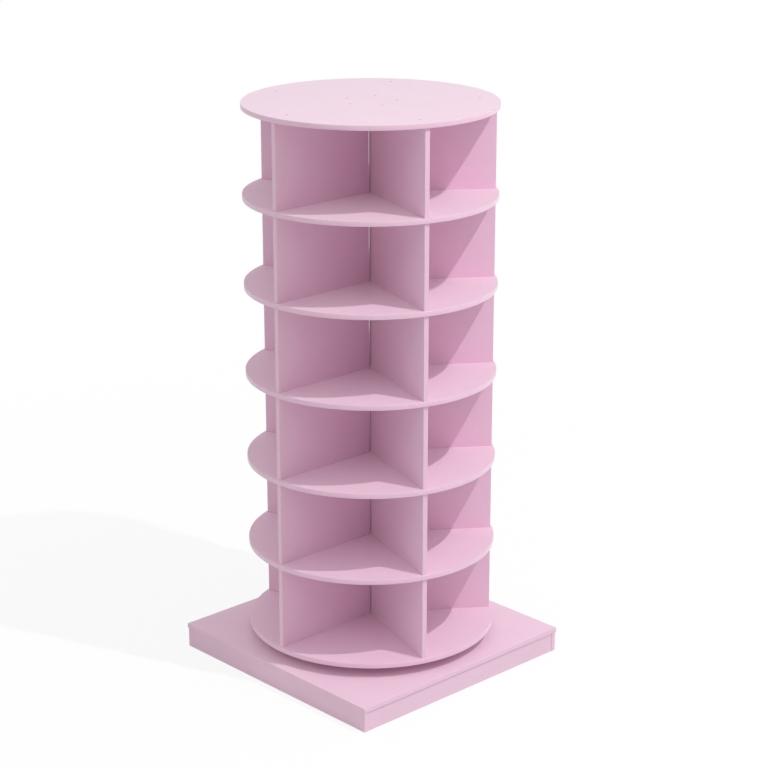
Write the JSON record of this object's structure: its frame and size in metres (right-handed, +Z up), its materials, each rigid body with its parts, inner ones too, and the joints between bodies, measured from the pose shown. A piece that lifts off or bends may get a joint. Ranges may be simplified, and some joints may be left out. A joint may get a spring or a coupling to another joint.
{
  "type": "rotating shoe tower",
  "caption": "Tall round tower of open shoe compartments between disc shelves and radial dividers, turning on a hidden ball bearing over a low square base.",
  "frame": {"origin": "on the turning axis at floor level, in the middle of the base's footprint", "axes": "+Z up along the turning axis; the base's sides lie along X and Y, with a full-length apron on -Y and +Y; the first divider of each tier points along -Y at rest"},
  "size_m": [0.673, 0.673, 1.4275],
  "materials": {
    "board": "pink melamine-faced particle board, satin",
    "cap": "moulded, matte",
    "block_wood": "sawn pine, bare",
    "dowel_wood": "turned beech, bare",
    "plate": "zinc-plated pressed steel",
    "screw": "zinc-plated",
    "ball": "polished bearing steel",
    "cage": "moulded nylon"
  },
  "bodies": {
    "base": {"base_top_board": "board", "base_front_apron": "board", "base_back_apron": "board", "base_left_apron": "board", "base_right_apron": "board", "base_left_rail": "board", "base_right_rail": "board", "base_corner_blocks": "block_wood", "base_screws": "screw", "base_dowels": "dowel_wood", "bearing_lower_plate": "plate", "bearing_lower_screws": "screw"},
    "cage": {"ball_cage": "cage", "bearing_balls": "ball"},
    "tower": {"bearing_upper_plate": "plate", "bearing_upper_screws": "screw", "spacer_disc": "board", "spacer_screws": "screw", "bottom_disc": "board", "shelf_disc_1": "board", "shelf_disc_2": "board", "shelf_disc_3": "board", "shelf_disc_4": "board", "shelf_disc_5": "board", "top_disc": "board", "tier_1_divider_1": "board", "tier_1_divider_2": "board", "tier_1_divider_3": "board", "tier_1_divider_4": "board", "tier_1_divider_5": "board", "tier_2_divider_1": "board", "tier_2_divider_2": "board", "tier_2_divider_3": "board", "tier_2_divider_4": "board", "tier_2_divider_5": "board", "tier_3_divider_1": "board", "tier_3_divider_2": "board", "tier_3_divider_3": "board", "tier_3_divider_4": "board", "tier_3_divider_5": "board", "tier_4_divider_1": "board", "tier_4_divider_2": "board", "tier_4_divider_3": "board", "tier_4_divider_4": "board", "tier_4_divider_5": "board", "tier_5_divider_1": "board", "tier_5_divider_2": "board", "tier_5_divider_3": "board", "tier_5_divider_4": "board", "tier_5_divider_5": "board", "tier_6_divider_1": "board", "tier_6_divider_2": "board", "tier_6_divider_3": "board", "tier_6_divider_4": "board", "tier_6_divider_5": "board", "divider_screws": "screw", "divider_dowels": "dowel_wood", "screw_caps": "cap"}
  },
  "joints": [
    {"name": "tower_spin", "type": "hinge", "parent": "base", "child": "tower", "pos_m": [0, 0, 0.07025], "axis": [0, 0, 1], "continuous": true},
    {"name": "cage_spin", "type": "hinge", "parent": "base", "child": "cage", "pos_m": [0, 0, 0.07025], "axis": [0, 0, 1], "continuous": true}
  ],
  "couplings": [
    {"joint": "cage_spin", "follows": "tower_spin", "ratio": 0.5}
  ]
}
